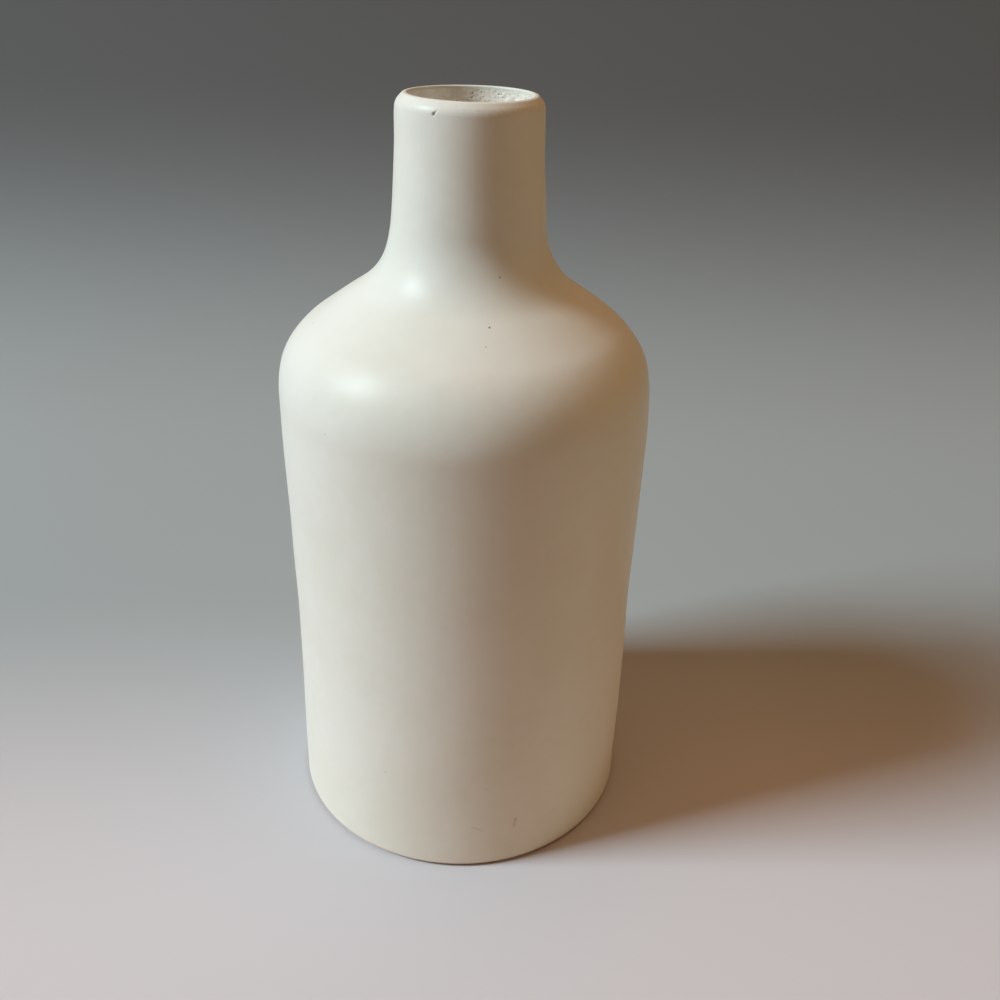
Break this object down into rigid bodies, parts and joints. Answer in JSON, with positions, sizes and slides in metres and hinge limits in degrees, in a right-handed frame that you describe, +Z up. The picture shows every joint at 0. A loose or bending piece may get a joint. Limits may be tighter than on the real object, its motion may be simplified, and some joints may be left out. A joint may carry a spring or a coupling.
{
  "type": "bottle vase",
  "caption": "Bottle-shaped stoneware vase with a straight body, sloped shoulder, narrow neck and rolled lip, satin glazed outside and glossy inside.",
  "frame": {"origin": "centre of the circle that the foot ring stands on", "axes": "+Z up along the vase's axis; X and Y are free, because every layer is a solid of revolution"},
  "size_m": [0.1376, 0.1376, 0.28],
  "materials": {
    "fired_clay": "bare fired stoneware, dry and matt, seen only on the foot",
    "satin_glaze": "satin-matt warm white glaze",
    "liner_glaze": "glossy pale liner glaze with small pits"
  },
  "bodies": {
    "root": {"clay_body": "fired_clay", "outer_glaze": "satin_glaze", "liner_glaze": "liner_glaze"}
  },
  "joints": []
}
